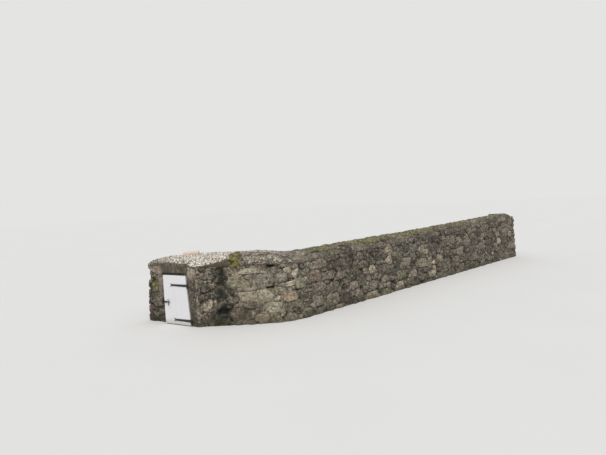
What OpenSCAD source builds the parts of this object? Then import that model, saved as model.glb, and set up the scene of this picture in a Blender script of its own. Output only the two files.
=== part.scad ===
// Rubble-stone garden wall with a rounded mortar capping, one bend, and a small
// painted door in its free end that closes a service niche.
// Origin: ground level, on the centreline of the straight run, near its middle.
// +X runs along the wall to its far end, +Y goes to its back, +Z is up. Millimetres.

/* [Masonry] */
// Length of the straight run
run_len = 6900; // [4000:100:10000]
// Number of bays that the straight run is built in
bays = 4; // [2:1:6]
// Thickness of the wall at the ground
foot_t = 670; // [600:10:760]
// Thickness above the spread foot
body_t = 620; // [560:10:700]
// Thickness under the capping
head_t = 580; // [500:10:640]
// Height of the spread foot
foot_h = 260; // [150:10:350]
// Angle that the wall turns through near its free end
bend_angle = 45; // [30:1:55]
// Radius of the bend, on the front face at the ground
bend_r = 1000; // [800:10:1600]
// Length of the stub beyond the bend, along its front
stub_len = 780; // [700:10:1200]

/* [Capping] */
// Rise of the rounded capping over the masonry
cap_rise = 150; // [90:5:200]
// Overhang of the capping on each side
cap_lip = 10; // [0:1:30]
// Crown height over the end pier
pier_crown = 940; // [880:5:1000]
// Crown height at the far end of the straight run
far_crown = 1020; // [920:5:1100]
// How far the hip drops from the crown to the end face
hip_drop = 70; // [40:5:100]

/* [End pier] */
// Width of the end face that holds the door, at the ground
face_w = 990; // [860:10:1000]
// How much narrower the end face is at its top
nose_lean = 90; // [0:10:120]
// Angle of the end face from square to the straight run
face_turn = 15; // [5:1:25]
// Thickness of the render coat round the door
render_t = 26; // [22:1:34]
// Clear depth of the niche behind the door
niche_d = 300; // [200:10:340]
// Height of the niche floor above the ground
sill_h = 45; // [30:5:80]

/* [Door] */
// Height of the top edge of the leaf above the ground
leaf_top = 670; // [600:5:690]
// Thickness of the leaf
leaf_t = 27; // [22:1:30]
// Gap under the leaf
leaf_gap = 10; // [5:1:40]
// Lean of the hinge line towards the leaf, in degrees
hinge_lean = 4; // [0:0.5:5]
// Length of the strap hinges
strap_len = 318; // [240:1:340]
// Throw of the slide bolt
bolt_throw = 36; // [25:1:40]

/* [Hidden] */

stone = [0.52, 0.47, 0.40];
grey_render = [0.44, 0.40, 0.35];
cream_mortar = [0.76, 0.71, 0.62];
grey_cap = [0.56, 0.52, 0.43];
tile_pink = [0.78, 0.62, 0.53];
white_paint = [0.88, 0.88, 0.88];
black_iron = [0.08, 0.08, 0.08];

// The straight run starts where the bend ends, run_back behind the origin.
run_back = 2700;
line_r = bend_r - foot_t / 2;
bend_len = line_r * bend_angle * PI / 180;
bay_len = run_len / bays;
steps_per_half_bend = 5;
// Hairline seam that keeps neighbouring lengths from cutting into each other.
seam = 0.1;

// Crown height along the wall, against the distance from the start of the straight run.
dip_crown = 895;
crown_line = [[-bend_len, pier_crown], [0, dip_crown], [run_len / 2, 940], [run_len, far_crown]];
function crown(s) = lookup(s, crown_line);
function springing(s) = crown(s) - cap_rise;
pier_head = pier_crown - cap_rise;

// Half thickness at a height: a spread foot, and a steady batter above it.
foot_batter = (foot_t - body_t) / 2 / foot_h;
batter = (body_t - head_t) / 2 / (pier_head - foot_h);
function half_at(z) =
    z < foot_h ? foot_t / 2 - foot_batter * z : body_t / 2 - batter * (z - foot_h);

// Place and heading of the centreline at a distance s from the start of the straight run.
function turn(s) = s >= 0 ? 0 : min(bend_angle, -s / line_r * 180 / PI);
function past_bend(s) = max(0, -s - bend_len);
function line_point(s) =
    s >= 0 ? [s - run_back, 0]
    : [-run_back - line_r * sin(turn(s)) - past_bend(s) * cos(bend_angle),
       line_r * (1 - cos(turn(s))) + past_bend(s) * sin(bend_angle)];
function to_back(s) = [sin(turn(s)), cos(turn(s))];
function wall_point(s, off, z) = concat(line_point(s) + off * to_back(s), z);

// A section of the capping, from its front lip over to the back, and one of the space below
// it, which is wider than the masonry.
function cap_half(s) = half_at(springing(s)) + cap_lip;
function cap_section(s, half) = [
    for (a = [0:12:180])
        wall_point(s, -half * cos(a), springing(s) + seam + cap_rise * sin(a))];
function space_section(s) =
    let (wide = foot_t / 2 + cap_lip, under = springing(s) - 2 * cap_lip)
    [wall_point(s, -wide, -cap_lip), wall_point(s, -wide, under),
     wall_point(s, -cap_half(s), springing(s)), wall_point(s, cap_half(s), springing(s)),
     wall_point(s, wide, under), wall_point(s, wide, -cap_lip)];

// Corners of the end pier in plan. The end face runs from the front corner to the nose.
// The nose leans in with height, and its back corner is cut off.
stub_front = line_point(-bend_len) - foot_t / 2 * to_back(-bend_len);
face_corner = stub_front + stub_len * [-cos(bend_angle), sin(bend_angle)];
face_x = [sin(face_turn), -cos(face_turn)];
face_y = [cos(face_turn), sin(face_turn)];
function face_point(x, y) = face_corner + x * face_x + y * face_y;
face_skew = 90 - face_turn - bend_angle;
nose_cut = 90;
function between(p, q, f) = p + (q - p) * f;
function nose_width(z) = face_w - nose_lean * z / pier_head;
function nose(z, depth) = face_point(-nose_width(z), depth);
function nose_back(z, half, cut) =
    nose(z, 0) + (half + foot_t / 2 - nose_width(z) * sin(face_skew) - cut) * to_back(-bend_len);
function nose_inner(z, half, cut) =
    nose_back(z, half, 0) + cut * [cos(bend_angle), -sin(bend_angle)];
// Outline of the pier at a height, clockwise from above, with its end face set in by depth.
function pier_outline(z, depth) =
    let (half = half_at(z), at_bend = line_point(-bend_len), across = half * to_back(-bend_len))
    [at_bend - across, face_point(depth / tan(face_skew), depth), nose(z, depth),
     nose_back(z, half, nose_cut), nose_inner(z, half, nose_cut), at_bend + across];

// A solid through a list of sections that all have the same number of points. Each side face
// is split into two triangles, one way or the other.
module loft(sections, other_way = false) {
    n = len(sections[0]);
    m = len(sections);
    function at(j, i) = j * n + i % n;
    sides = [
        for (j = [0:m - 2]) for (i = [0:n - 1]) each
            other_way
            ? [[at(j, i), at(j, i + 1), at(j + 1, i)],
               [at(j, i + 1), at(j + 1, i + 1), at(j + 1, i)]]
            : [[at(j, i), at(j, i + 1), at(j + 1, i + 1)],
               [at(j, i), at(j + 1, i + 1), at(j + 1, i)]]];
    polyhedron(
        points = [for (s = sections) each s],
        faces = concat(
            [[for (i = [n - 1:-1:0]) at(0, i)]],
            [[for (i = [0:n - 1]) at(m - 1, i)]],
            sides));
}

// A length of the bend: the battered cross-section turned about the centre of the bend, and
// cut to its length and to the underside of the capping.
module wall_bend(from, to) {
    steps = steps_per_half_bend;
    spare_turn = 1;
    first = 270 - turn(from) - spare_turn;
    last = 270 - turn(to) + spare_turn;
    color(stone)
        intersection() {
            translate([-run_back, line_r, 0])
                rotate([0, 0, first])
                    rotate_extrude(angle = last - first, $fn = 192)
                        polygon([
                            for (z = [0, foot_h, pier_crown]) [line_r + half_at(z), z],
                            for (z = [pier_crown, foot_h, 0]) [line_r - half_at(z), z]]);
            loft([for (k = [0:steps]) space_section(from + (to - from) * k / steps)], true);
        }
}

module capping(from, to, steps) {
    stops = [for (k = [0:steps]) from + (to - from) * k / steps];
    color(grey_cap) loft([for (s = stops) cap_section(s, cap_half(s))]);
}

// A straight bay: the battered cross-section, under a top that follows the capping.
module wall_run(i) {
    from = (i - 1) * bay_len;
    to = i * bay_len;
    tall = far_crown;
    color(stone)
        intersection() {
            translate([from - run_back, 0, 0])
                rotate([90, 0, 90])
                    linear_extrude(bay_len)
                        polygon([
                            for (z = [0, foot_h, tall]) [-half_at(z), z],
                            for (z = [tall, foot_h, 0]) [half_at(z), z]]);
            translate([-run_back, foot_t, 0])
                rotate([90, 0, 0])
                    linear_extrude(2 * foot_t)
                        polygon([[from, 0], [to, 0], [to, springing(to)],
                                 [from, springing(from)]]);
        }
}

// The end face's own frame: x to the right along the face, y into the wall, z up.
module on_face() {
    translate([face_corner.x, face_corner.y, 0])
        rotate([0, 0, face_turn - 90])
            children();
}

// The whole masonry of the pier, solid. Its pieces are cut out of it.
module pier_mass() {
    depth = render_t + seam;
    loft([for (z = [0, foot_h, pier_head]) [for (p = pier_outline(z, depth)) concat(p, z)]]);
}

// Sizes in the face frame.
leaf_left = -600;
leaf_mid_z = (leaf_gap + leaf_top) / 2;
leaf_mid_edge = -166;
hinge_from_edge = 28;
leaf_proud = 6;
side_gap = 8;
head_gap = 16;
lining_t = 15;
niche_left = -570;
niche_right = -215;
niche_top = 645;
niche_back = render_t + niche_d;
block_back = niche_back + lining_t;
lintel_bearing = 120;
reach = 1400;
function leaf_edge(z) = leaf_mid_edge - (z - leaf_mid_z) * tan(hinge_lean);

module lintel_form() {
    translate([niche_left - lining_t - lintel_bearing, render_t, niche_top + lining_t])
        cube([niche_right - niche_left + 2 * (lining_t + lintel_bearing),
              block_back - render_t, pier_head - niche_top - lining_t]);
}

// Square iron arm of a pintle, in the frame of the hinge line.
arm = 14;
arm_in = 100;
eye_h = 38;
eye_r = 11;
pin_r = 6;
hinge_y = -leaf_proud - eye_r;
seat_gap = 0.3;
module pintle_arm() {
    translate([-arm / 2, 0, -eye_h / 2 - seat_gap - arm])
        cube([arm, arm_in - hinge_y, arm]);
}

strap_low_z = 72;
strap_high_z = 540;
module on_hinge(z) {
    on_face()
        translate([leaf_edge(z) + hinge_from_edge, hinge_y, z])
            rotate([0, -hinge_lean, 0])
                children();
}

module pier_hinge_jamb() {
    color(stone)
        difference() {
            intersection() {
                pier_mass();
                on_face()
                    translate([niche_right + lining_t, 0, 0])
                        cube([reach, block_back, pier_head]);
            }
            on_face() lintel_form();
            on_hinge(strap_low_z) pintle_arm();
            on_hinge(strap_high_z) pintle_arm();
        }
}

module pier_latch_jamb() {
    color(stone)
        difference() {
            intersection() {
                pier_mass();
                on_face()
                    translate([niche_left - lining_t - reach, 0, 0])
                        cube([reach, block_back, pier_head]);
            }
            on_face() lintel_form();
        }
}

module pier_back_mass() {
    color(stone)
        intersection() {
            pier_mass();
            on_face()
                translate([-reach, block_back, 0])
                    cube([2 * reach, 2 * reach, pier_head]);
        }
}

module door_lintel() {
    color(grey_render) on_face() lintel_form();
}

// The niche is lined with a smooth coat of mortar.
module niche_slab(x, y, z, size) {
    color(grey_render) on_face() translate([x, y, z]) cube(size);
}

module niche_sill() {
    niche_slab(niche_left - lining_t, render_t, 0,
               [niche_right - niche_left + 2 * lining_t, block_back - render_t, sill_h]);
}

module niche_render_side(x) {
    niche_slab(x, render_t, sill_h, [lining_t, block_back - render_t, niche_top - sill_h]);
}

module niche_render_back() {
    niche_slab(niche_left, niche_back, sill_h,
               [niche_right - niche_left, lining_t, niche_top - sill_h]);
}

module niche_render_ceiling() {
    niche_slab(niche_left - lining_t, render_t, niche_top,
               [niche_right - niche_left + 2 * lining_t, block_back - render_t, lining_t]);
}

// Front view of the render coat: a rounded shoulder on the hinge side, a band down the
// latch side that stops above the foot, and a band under the capping out to the nose.
band_left = -700;
band_foot = 270;
crown_band_foot = 690;
nose_clear = 12;
shoulder_r = 180;
coat_right = render_t / tan(face_skew);
module surround_outline() {
    difference() {
        union() {
            translate([coat_right - shoulder_r, pier_head - shoulder_r])
                circle(r = shoulder_r, $fn = 96);
            translate([coat_right - shoulder_r, 0])
                square([shoulder_r, pier_head - shoulder_r]);
            translate([leaf_left - side_gap, 0])
                square([coat_right - shoulder_r - leaf_left + side_gap, pier_head]);
            translate([band_left, band_foot])
                square([-band_left - shoulder_r, pier_head - band_foot]);
            polygon([
                [nose_clear - nose_width(crown_band_foot + 60), crown_band_foot + 60],
                [band_left - 100, crown_band_foot + 10], [band_left, crown_band_foot - 20],
                [band_left, pier_head], [nose_clear - nose_width(pier_head), pier_head]]);
        }
        polygon([
            [leaf_left - side_gap, -1],
            [leaf_edge(-1) + side_gap, -1],
            [leaf_edge(leaf_top + head_gap) + side_gap, leaf_top + head_gap],
            [leaf_left - side_gap, leaf_top + head_gap]]);
    }
}

// Extrudes a front view through the depth from y to y + depth.
module front_view(y, depth) {
    translate([0, y + depth, 0]) rotate([90, 0, 0]) linear_extrude(depth) children();
}

// The coat's right end is cut flush with the front of the pier.
module door_surround() {
    color(grey_render)
        difference() {
            on_face() front_view(0, render_t) surround_outline();
            on_face()
                translate([0, 0, -1])
                    linear_extrude(pier_head + 2)
                        polygon([[0, 0], [0, -10], [2 * coat_right, -10],
                                 [2 * coat_right, 2 * render_t]]);
            on_hinge(strap_low_z) pintle_arm();
            on_hinge(strap_high_z) pintle_arm();
        }
}

// Flat tile bedded in the crown of the capping over the pier.
tile_size = [210, 150, 38];
tile_bed = 14;
tile_along = 905;
module tile_form() {
    spot = line_point(-bend_len - tile_along);
    translate([spot.x, spot.y, pier_crown + tile_size.z / 2 - tile_bed])
        rotate([3, -2, -bend_angle + 8])
            cube(tile_size, center = true);
}

module ridge_tile() {
    color(tile_pink) tile_form();
}

// The capping over the pier: its sections turn from square to the wall to the line of the
// end face, and fall towards that face in a rounded hip.
module cap_end() {
    half = cap_half(-bend_len);
    bend_front = line_point(-bend_len) - half * to_back(-bend_len);
    bend_back = line_point(-bend_len) + half * to_back(-bend_len);
    lip_nose = nose(pier_head, 0) - cap_lip * face_x;
    cut_back = nose_back(pier_head, half, nose_cut);
    cut_inner = nose_inner(pier_head, half, nose_cut);
    stations = [
        [face_corner, lip_nose, cap_rise - hip_drop],
        [between(face_corner, bend_front, 0.12), cut_back, cap_rise - hip_drop * 0.45],
        [between(face_corner, bend_front, 0.4), cut_inner, cap_rise - hip_drop * 0.15],
        [between(face_corner, bend_front, 0.75), between(cut_inner, bend_back, 0.25), cap_rise],
        [between(face_corner, bend_front, 0.9), between(cut_inner, bend_back, 0.55), cap_rise],
        [bend_front, bend_back, cap_rise]];
    color(cream_mortar)
        difference() {
            loft([for (t = stations) [
                for (a = [0:12:180])
                    concat(between(t[0], t[1], (1 - cos(a)) / 2),
                           pier_head + seam + t[2] * sin(a))]]);
            tile_form();
        }
}

module door_leaf() {
    color(white_paint)
        on_face()
            front_view(-leaf_proud, leaf_t)
                polygon([
                    [leaf_left, leaf_gap], [leaf_edge(leaf_gap), leaf_gap],
                    [leaf_edge(leaf_top), leaf_top], [leaf_left, leaf_top]]);
}

// Ledges across the inside of the leaf, short enough to pass the lining.
ledge = [335, 22, 70];
ledge_clear = 10;
module door_ledge(z) {
    color(white_paint)
        on_face()
            translate([niche_left + ledge_clear, leaf_t - leaf_proud, z])
                cube(ledge);
}

// Forged strap with a fishtail tip and a rolled eye.
strap_t = 5;
bore_r = 6.08;
module strap_plate() {
    wide = 17;
    neck = 12;
    tip = 20;
    notch = 22;
    polygon([
        [0, -wide], [-strap_len + 40, -neck], [-strap_len, -tip],
        [-strap_len + notch, 0], [-strap_len, tip], [-strap_len + 40, neck], [0, wide]]);
}

module strap(z) {
    color(black_iron)
        on_hinge(z)
            difference() {
                union() {
                    translate([0, 0, -eye_h / 2]) cylinder(r = eye_r, h = eye_h, $fn = 48);
                    rotate([0, hinge_lean, 0])
                        front_view(eye_r - strap_t, strap_t) strap_plate();
                }
                translate([0, 0, -eye_h]) cylinder(r = bore_r, h = 2 * eye_h, $fn = 48);
            }
}

// Pin that the strap's eye turns on, with a shoulder under it and an arm into the wall.
module pintle(z) {
    color(black_iron)
        on_hinge(z)
            union() {
                translate([0, 0, -eye_h / 2 - seat_gap - arm])
                    cylinder(r = pin_r, h = eye_h + seat_gap + arm + 10, $fn = 48);
                translate([0, 0, -eye_h / 2 - seat_gap - arm])
                    cylinder(r = eye_r, h = arm, $fn = 48);
                pintle_arm();
            }
}

// Slide bolt: a round bar with a T grip, drawn back at rest so that the door is free.
bolt_z = 305;
bolt_r = 5;
guide_bore_r = 5.3;
plate_t = 2.5;
bolt_y = -leaf_proud - plate_t - bolt_r - 1;
bolt_tip = -594;
bolt_tail = -495;
grip_x = -505;
grip_y = -30;
grip_r = 5.5;
grip_len = 84;
module along_x(x, y, z, r, length) {
    translate([x, y, z]) rotate([0, 90, 0]) cylinder(r = r, h = length, $fn = 40);
}

module slide_bolt() {
    color(black_iron)
        on_face()
            union() {
                along_x(bolt_tip, bolt_y, bolt_z, bolt_r, bolt_tail - bolt_tip);
                translate([grip_x, bolt_y, bolt_z])
                    rotate([90, 0, 0])
                        cylinder(r = grip_r - 0.5, h = bolt_y - grip_y, $fn = 40);
                translate([grip_x, grip_y, bolt_z - grip_len / 2])
                    cylinder(r = grip_r, h = grip_len, $fn = 40);
            }
}

guide_w = 12;
guide_h = 20;
module bolt_guides() {
    color(black_iron)
        on_face()
            difference() {
                union() {
                    translate([-592, -leaf_proud - plate_t, bolt_z - guide_h / 2])
                        cube([44, plate_t, guide_h]);
                    for (x = [-590, -568])
                        translate([x, bolt_y - bolt_r - 4, bolt_z - guide_h / 2])
                            cube([guide_w, -leaf_proud - bolt_y + bolt_r + 4, guide_h]);
                }
                along_x(-620, bolt_y, bolt_z, guide_bore_r, 70);
            }
}

// Staple on the wall that the bolt runs into: a strap bent round a square way.
keeper_w = 20;
keeper_way = 14;
keeper_strap = 4;
module bolt_keeper() {
    color(black_iron)
        on_face()
            difference() {
                union() {
                    translate([-650, -3, bolt_z - 40]) cube([38, 3, 80]);
                    translate([-634, bolt_y - keeper_way / 2 - keeper_strap,
                               bolt_z - keeper_way / 2 - keeper_strap])
                        cube([keeper_w, keeper_way / 2 + keeper_strap - bolt_y,
                              keeper_way + 2 * keeper_strap]);
                }
                translate([-660, bolt_y - keeper_way / 2, bolt_z - keeper_way / 2])
                    cube([60, keeper_way, keeper_way]);
            }
}

half_bend = bend_len / 2;
bend_start = -bend_len + seam;

pier_hinge_jamb();
pier_latch_jamb();
pier_back_mass();
door_lintel();
niche_sill();
niche_render_side(niche_right);  // niche_render_hinge_side
niche_render_side(niche_left - lining_t);  // niche_render_latch_side
niche_render_back();
niche_render_ceiling();
door_surround();
wall_bend(-half_bend + seam, 0);  // wall_bend_inner
wall_bend(bend_start, -half_bend);  // wall_bend_outer
for (i = [1:bays]) {
    wall_run(i);
    capping((i - 1) * bay_len, i * bay_len, 1);
}
cap_end();
capping(-half_bend + seam, 0, steps_per_half_bend);  // cap_bend_inner
capping(bend_start, -half_bend, steps_per_half_bend);  // cap_bend_outer
ridge_tile();
door_leaf();
door_ledge(505);  // door_ledge_upper
door_ledge(95);  // door_ledge_lower
strap(strap_high_z);  // strap_upper
strap(strap_low_z);  // strap_lower
pintle(strap_high_z);  // pintle_upper
pintle(strap_low_z);  // pintle_lower
bolt_guides();
slide_bolt();
bolt_keeper();
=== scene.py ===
from itertools import product
from math import cos, pi, radians, sin, tan

import bpy
import numpy as np
from mathutils import Matrix, Vector


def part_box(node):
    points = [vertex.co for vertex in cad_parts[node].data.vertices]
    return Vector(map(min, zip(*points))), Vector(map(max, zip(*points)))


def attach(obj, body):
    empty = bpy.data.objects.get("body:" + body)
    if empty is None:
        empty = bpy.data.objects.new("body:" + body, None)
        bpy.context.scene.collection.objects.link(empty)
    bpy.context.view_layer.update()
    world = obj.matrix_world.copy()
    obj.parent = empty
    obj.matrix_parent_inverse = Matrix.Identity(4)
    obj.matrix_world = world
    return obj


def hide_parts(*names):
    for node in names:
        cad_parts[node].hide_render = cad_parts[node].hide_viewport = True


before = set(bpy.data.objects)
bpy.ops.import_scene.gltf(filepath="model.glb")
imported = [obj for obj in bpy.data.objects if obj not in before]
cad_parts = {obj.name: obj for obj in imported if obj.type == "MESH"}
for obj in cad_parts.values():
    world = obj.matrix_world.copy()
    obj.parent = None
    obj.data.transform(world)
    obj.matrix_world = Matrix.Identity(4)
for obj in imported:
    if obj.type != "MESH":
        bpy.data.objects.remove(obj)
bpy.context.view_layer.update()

# The viewpoint: a standing person's eye, 1.6 m up, near the wall's door end. It looks along
# the wall and a little down, with the picture turned by a few degrees.
eye = Vector((-7.245, -4.913, 1.6))
heading = radians(45.84)
look_down = radians(3.39)
picture_turn = radians(3.0)
sight = Vector((cos(heading) * cos(look_down), sin(heading) * cos(look_down), -sin(look_down)))
level_right = Vector((sin(heading), -cos(heading), 0))
level_up = level_right.cross(sight)
picture_right = level_right * cos(picture_turn) - level_up * sin(picture_turn)
picture_up = level_right * sin(picture_turn) + level_up * cos(picture_turn)
camera = bpy.data.objects.new("viewpoint", bpy.data.cameras.new("viewpoint"))
camera.data.sensor_width = 36
camera.data.lens = 28.515
camera.matrix_world = (
    Matrix.Translation(eye) @ Matrix((picture_right, picture_up, -sight)).transposed().to_4x4())
bpy.context.scene.collection.objects.link(camera)
bpy.context.scene.camera = camera
bpy.context.scene.view_settings.view_transform = "Standard"


# The studio: a pale floor under an even white sky, with one broad soft lamp high in front, as
# on a bright overcast day. Its finish is the first one here, so the class that mixes finishes
# stands here too.
def paint(red, green, blue):
    """A colour as 0 to 255 screen values, turned into the linear light that shaders use."""
    linear = [((c / 255 + 0.055) / 1.055) ** 2.4 if c > 10 else c / 3295 for c in (red, green, blue)]
    return (*linear, 1.0)


class Level:
    """One output in a finish, for sums written as plain Python."""

    def __init__(self, finish, socket):
        self.finish = finish
        self.socket = socket

    def sum(self, operation, first, second):
        return self.finish.node("Math", {"operation": operation}, {0: first, 1: second})

    def __add__(self, other):
        return self.sum("ADD", self, other)

    def __mul__(self, other):
        return self.sum("MULTIPLY", self, other)

    def __sub__(self, other):
        return self.sum("SUBTRACT", self, other)

    def __rsub__(self, other):
        return self.sum("SUBTRACT", other, self)

    __radd__ = __add__
    __rmul__ = __mul__


class Finish:
    """A material that is being mixed, with its shader and the patterns that drive it."""

    def __init__(self, name, roughness=0.9):
        self.material = bpy.data.materials.new(name)
        self.material.use_nodes = True
        self.tree = self.material.node_tree
        self.shader = self.tree.nodes["Principled BSDF"]
        self.shader.inputs["Roughness"].default_value = roughness
        self.place = self.node("TexCoord", out="Object")
        self.along = self.node("SeparateXYZ", {}, {0: self.place}, out="X")
        self.height = self.node("SeparateXYZ", {}, {0: self.place}, out="Z")

    def node(self, kind, settings=None, sockets=None, out=0):
        made = self.tree.nodes.new("ShaderNode" + kind)
        for name, value in (settings or {}).items():
            setattr(made, name, value)
        for name, value in (sockets or {}).items():
            self.set(made.inputs[name], value)
        return Level(self, made.outputs[out])

    def set(self, socket, value):
        if isinstance(value, Level):
            self.tree.links.new(value.socket, socket)
        else:
            socket.default_value = value

    def mark(self, name, out="Fac"):
        """What the mesh carries at its points under a name."""
        return self.node("Attribute", {"attribute_name": name}, out=out)

    def blend(self, first, second, amount):
        """A colour between two colours."""
        return self.node("Mix", {"data_type": "RGBA"}, {0: amount, 6: first, 7: second}, out=2)

    def shade(self, colour, amount):
        """A colour made lighter or darker."""
        return self.node("VectorMath", {"operation": "SCALE"}, {0: colour, "Scale": amount})

    def cloud(self, size, detail=3.0, rough=0.55, stretch=(1, 1, 1), seed=0.0):
        """Soft random patches of a size in metres, from 0 to 1."""
        place = self.node("Mapping", {}, {0: self.place, "Location": (seed, -seed, 2 * seed),
                                          "Scale": [1 / (size * s) for s in stretch]})
        return self.node("TexNoise", {}, {"Vector": place, "Scale": 1.0, "Detail": detail,
                                          "Roughness": rough})

    def mottle(self, size, dark, light, detail=3.0, stretch=(1, 1, 1), seed=0.0):
        """Patches of a size in metres with clear edges, from one strength to another."""
        cloud = self.cloud(size, detail, 0.6, stretch, seed)
        return dark + (light - dark) * self.above(cloud, 0.37, 0.63)

    def above(self, value, low, high):
        """A soft step from 0 at low to 1 at high."""
        return self.node("MapRange", {"interpolation_type": "SMOOTHSTEP"},
                         {"Value": value, "From Min": low, "From Max": high})

    def patches(self, colour, over, strength, size, low, high, seed, detail=4, more=0.0):
        """Ragged patches of another colour, fuller where there is more of what they follow."""
        where = self.above(self.cloud(size, detail, 0.7, seed=seed) + more, low, high)
        return self.blend(colour, over, strength * where)

    def dress(self, colour, bump=None, depth=0.002, roughness=None):
        self.set(self.shader.inputs["Base Color"], colour)
        if roughness is not None:
            self.set(self.shader.inputs["Roughness"], roughness)
        if bump is not None:
            normal = self.node("Bump", {}, {"Strength": 1.0, "Distance": depth, "Height": bump})
            self.set(self.shader.inputs["Normal"], normal)
        return self.material


floor_size = 60.0
floor_shape = bpy.data.meshes.new("floor")
floor_shape.from_pydata([(x * floor_size, y * floor_size, -0.001) for x, y in
                         ((-1, -1), (1, -1), (1, 1), (-1, 1))], [], [(0, 1, 2, 3)])
floor = bpy.data.objects.new("floor", floor_shape)
bpy.context.scene.collection.objects.link(floor)
floor_finish = Finish("pale_floor", 0.95)
floor_shape.materials.append(floor_finish.dress(
    floor_finish.blend(paint(214, 213, 210), paint(219, 218, 216), floor_finish.cloud(1.5))))

sky = bpy.data.worlds.new("overcast")
sky.use_nodes = True
sky_nodes = sky.node_tree.nodes
sky_light = sky_nodes["Background"]
sky_light.inputs["Color"].default_value = (0.93, 0.96, 1.0, 1.0)
sky_light.inputs["Strength"].default_value = 0.62
seen_sky = sky_nodes.new("ShaderNodeBackground")
seen_sky.inputs["Color"].default_value = paint(228, 228, 226)
ray_kind = sky_nodes.new("ShaderNodeLightPath")
seen_rays = sky_nodes.new("ShaderNodeMath")
seen_rays.operation = "MAXIMUM"
sky_choice = sky_nodes.new("ShaderNodeMixShader")
for source, target in ((ray_kind.outputs["Is Camera Ray"], seen_rays.inputs[0]),
                       (ray_kind.outputs["Is Glossy Ray"], seen_rays.inputs[1]),
                       (seen_rays.outputs[0], sky_choice.inputs[0]),
                       (sky_light.outputs[0], sky_choice.inputs[1]),
                       (seen_sky.outputs[0], sky_choice.inputs[2]),
                       (sky_choice.outputs[0], sky_nodes["World Output"].inputs["Surface"])):
    sky.node_tree.links.new(source, target)
bpy.context.scene.world = sky

lamp = bpy.data.objects.new("soft_lamp", bpy.data.lights.new("soft_lamp", "SUN"))
lamp.data.energy = 1.9
lamp.data.angle = radians(40)
lamp.data.color = (1.0, 0.98, 0.95)
lamp.rotation_euler = Vector((0.45, 0.42, -1.0)).to_track_quat("-Z", "Y").to_euler()
bpy.context.scene.collection.objects.link(lamp)

# The rubble: field stones laid by hand in rough beds, each cut here with a split face and left
# open at its back, inside the mortar. The masonry's face, which they follow, runs
# round the whole wall from the end face's front corner and back to it behind the render coat.
run_nodes = sorted(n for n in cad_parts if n.startswith("wall_run_"))
run_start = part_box(run_nodes[0])[0].x
run_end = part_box(run_nodes[-1])[1].x
run_long = run_end - run_start
foot_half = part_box(run_nodes[0])[1].y
body_half = 0.31
head_half = 0.29
foot_high = 0.26
pier_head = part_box("pier_back_mass")[1].z
bend_turn = radians(45)
line_r = 1.0 - foot_half
bend_long = line_r * bend_turn
stub_long = 0.78
face_turn = radians(15)
face_skew = pi / 2 - face_turn - bend_turn
face_wide = 0.99
nose_lean = 0.09
nose_cut = 0.09
coat_thick = 0.026
coat_left = -0.61
cap_rise = 0.15
cap_lip = 0.01


def wall_half(z):
    foot = foot_half + (body_half - foot_half) * z / foot_high
    body = body_half + (head_half - body_half) * (z - foot_high) / (pier_head - foot_high)
    return foot if z < foot_high else body


def springing(q):
    """Height of the capping's lower edge at a distance q along the wall's centreline."""
    crown = np.interp(q, [-bend_long, 0, run_long / 2, run_long], [0.94, 0.895, 0.94, 1.02])
    return crown - cap_rise


def centreline(q):
    """Plan points on the centreline, and the direction from each to the wall's back."""
    turn = np.clip(-q / line_r, 0, bend_turn)
    past = np.clip(-q - bend_long, 0, None)
    x = run_start + np.clip(q, 0, None) - line_r * np.sin(turn) - past * cos(bend_turn)
    y = line_r * (1 - np.cos(turn)) + past * sin(bend_turn)
    return np.stack([x, y], -1), np.stack([np.sin(turn), np.cos(turn)], -1)


pier_root, pier_back_way = [p[0] for p in centreline(np.array([-bend_long]))]
stub_way = np.array([-cos(bend_turn), sin(bend_turn)])
corner = pier_root - foot_half * pier_back_way + stub_long * stub_way
face_right = np.array([sin(face_turn), -cos(face_turn)])
face_in = np.array([cos(face_turn), sin(face_turn)])


def on_face(x, depth):
    """Plan point on the end face, x to the right of its corner and depth into the wall."""
    return corner + x * face_right + depth * face_in


def plan_along(points, way, start=corner):
    """How far points lie from a place on the plan, measured along a direction."""
    return (points[:, :2] - start) @ way


def nose_points(z, depth, half):
    """The pier's far corner at a height: on the face, and where its back corner is cut off."""
    wide = face_wide - nose_lean * z / pier_head
    deep = half + foot_half - wide * sin(face_skew)
    back = on_face(-wide, 0) + deep * pier_back_way
    return on_face(-wide, depth), back - nose_cut * pier_back_way, back - nose_cut * stub_way


bend_stops = np.linspace(-bend_long, 0, 13)


def outline(z):
    """Plan of the masonry at a height, counter-clockwise. Its last stretch is behind the coat."""
    half = wall_half(z)
    line, back_way = centreline(np.append(bend_stops, run_long))
    nose, nose_back, nose_inner = nose_points(z, coat_thick, half)
    start = on_face(0.0, 0.0)
    return np.array([start, on_face(coat_thick / tan(face_skew), coat_thick),
                     *(line - half * back_way), *(line + half * back_way)[::-1],
                     nose_inner, nose_back, nose, on_face(coat_left, coat_thick), start])


levels = np.array([0.0, foot_high, 1.1])
outlines = np.array([outline(z) for z in levels])
girth = np.append(0, np.cumsum(np.linalg.norm(np.diff(outlines[0], axis=0), axis=1)))
stops_at = np.concatenate([[-bend_long] * 2, bend_stops, [run_long] * 2, bend_stops[::-1],
                           [-bend_long] * 5])
far_front, far_back = girth[15:17]
coat_at, ring = girth[-2:]
arch_angle = np.linspace(0, pi / 2, 40)
arch_steps = np.hypot(head_half * np.diff(np.cos(arch_angle)), cap_rise * np.diff(np.sin(arch_angle)))
arch_long = np.append(0, np.cumsum(arch_steps))


def head_at(s):
    return springing(np.interp(s, girth, stops_at))


def plan_at(s, z):
    shares = [np.interp(z, levels, row) for row in np.eye(3)]
    return sum(share[:, None] * np.stack([np.interp(s, girth, o[:, 0]),
                                          np.interp(s, girth, o[:, 1])], -1)
               for share, o in zip(shares, outlines))


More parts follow.
